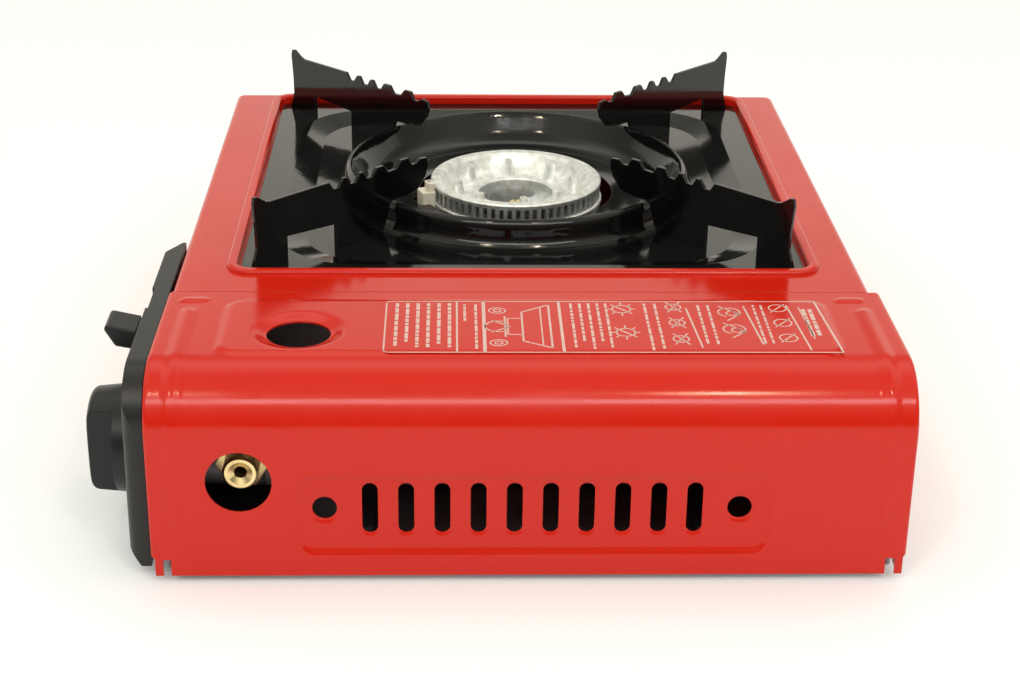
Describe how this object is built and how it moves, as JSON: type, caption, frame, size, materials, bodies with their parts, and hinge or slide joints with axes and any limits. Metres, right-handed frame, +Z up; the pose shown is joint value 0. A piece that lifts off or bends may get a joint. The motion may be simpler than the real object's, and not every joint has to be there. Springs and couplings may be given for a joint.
{
  "type": "portable gas stove",
  "caption": "Portable cooker with a round burner in an enamelled drip pan with pot supports, a hinged canister bay lid, a control knob, a lock lever and a hose connector.",
  "frame": {"origin": "under the middle of the whole object, on the surface that its feet stand on", "axes": "+X towards the canister end with the hinged lid, +Y towards the back, away from the knob and lever, +Z up"},
  "size_m": [0.3456, 0.3044, 0.11],
  "materials": {
    "red_enamel": "gloss",
    "tray_steel": "satin",
    "inner_steel": "satin",
    "aluminium_sheet": "satin",
    "cast_burner": "matt",
    "brass": "satin",
    "black_enamel": "gloss",
    "panel_plastic": "satin",
    "knob_plastic": "satin",
    "ceramic": "matt",
    "zinc_cast": "satin",
    "rubber": "matt",
    "screw_steel": "satin",
    "lead_red": "satin",
    "piezo_plastic": "satin"
  },
  "bodies": {
    "casing": {"body_shell": "red_enamel", "base_tray": "tray_steel", "rubber_feet": "rubber", "hinge_pins": "screw_steel", "divider_wall": "inner_steel", "heat_plate": "aluminium_sheet", "burner_head": "cast_burner", "burner_body": "cast_burner", "burner_screw": "brass", "mixing_tube": "inner_steel", "burner_bracket": "inner_steel", "bracket_screws": "screw_steel", "igniter_ceramic": "ceramic", "igniter_rod": "screw_steel", "igniter_bracket": "inner_steel", "spark_lead": "lead_red", "piezo_body": "piezo_plastic", "regulator_body": "zinc_cast", "regulator_screws": "screw_steel", "regulator_diaphragm": "rubber", "regulator_cover": "zinc_cast", "cover_screws": "screw_steel", "regulator_spring": "screw_steel", "canister_socket": "zinc_cast", "socket_seal": "rubber", "gas_probe": "brass", "notch_guide": "inner_steel", "hose_connector": "brass", "gas_nozzle": "brass", "control_panel": "panel_plastic", "panel_screws": "screw_steel", "lever_guide": "inner_steel", "slide_guides": "inner_steel", "canister_saddles": "piezo_plastic"},
    "lid": {"lid_shell": "red_enamel"},
    "knob": {"knob": "knob_plastic", "valve_spindle": "brass", "igniter_cam": "piezo_plastic"},
    "plunger": {"igniter_plunger": "piezo_plastic"},
    "lever": {"lock_lever": "knob_plastic", "lever_plate": "inner_steel"},
    "slide": {"lock_slide": "inner_steel", "slide_pin": "screw_steel", "pusher_pad": "rubber"},
    "pan": {"drip_pan": "black_enamel", "pot_support_back_right": "black_enamel", "pot_support_back_left": "black_enamel", "pot_support_front_left": "black_enamel", "pot_support_front_right": "black_enamel"}
  },
  "joints": [
    {"name": "lid_hinge", "type": "hinge", "parent": "casing", "child": "lid", "pos_m": [0.16515, 0.0126, 0.008], "axis": [0, 1, 0], "range_deg": [0, 90]},
    {"name": "knob_turn", "type": "hinge", "parent": "casing", "child": "knob", "pos_m": [0.13525, -0.145, 0.0415], "axis": [0, -1, 0], "range_deg": [0, 130]},
    {"name": "plunger_slide", "type": "slide", "parent": "casing", "child": "plunger", "axis": [0, 0, -1], "range_m": [0, 0.005]},
    {"name": "lever_slide", "type": "slide", "parent": "casing", "child": "lever", "axis": [0, 0, -1], "range_m": [0, 0.018]},
    {"name": "canister_slide", "type": "slide", "parent": "casing", "child": "slide", "axis": [0, -1, 0], "range_m": [0, 0.005]},
    {"name": "pan_lift", "type": "slide", "parent": "casing", "child": "pan", "axis": [0, 0, 1], "range_m": [0, 0.04]}
  ],
  "couplings": [
    {"joint": "plunger_slide", "follows": "knob_turn", "m_per_rad": 0.0022037},
    {"joint": "canister_slide", "follows": "lever_slide", "ratio": 0.27778}
  ]
}
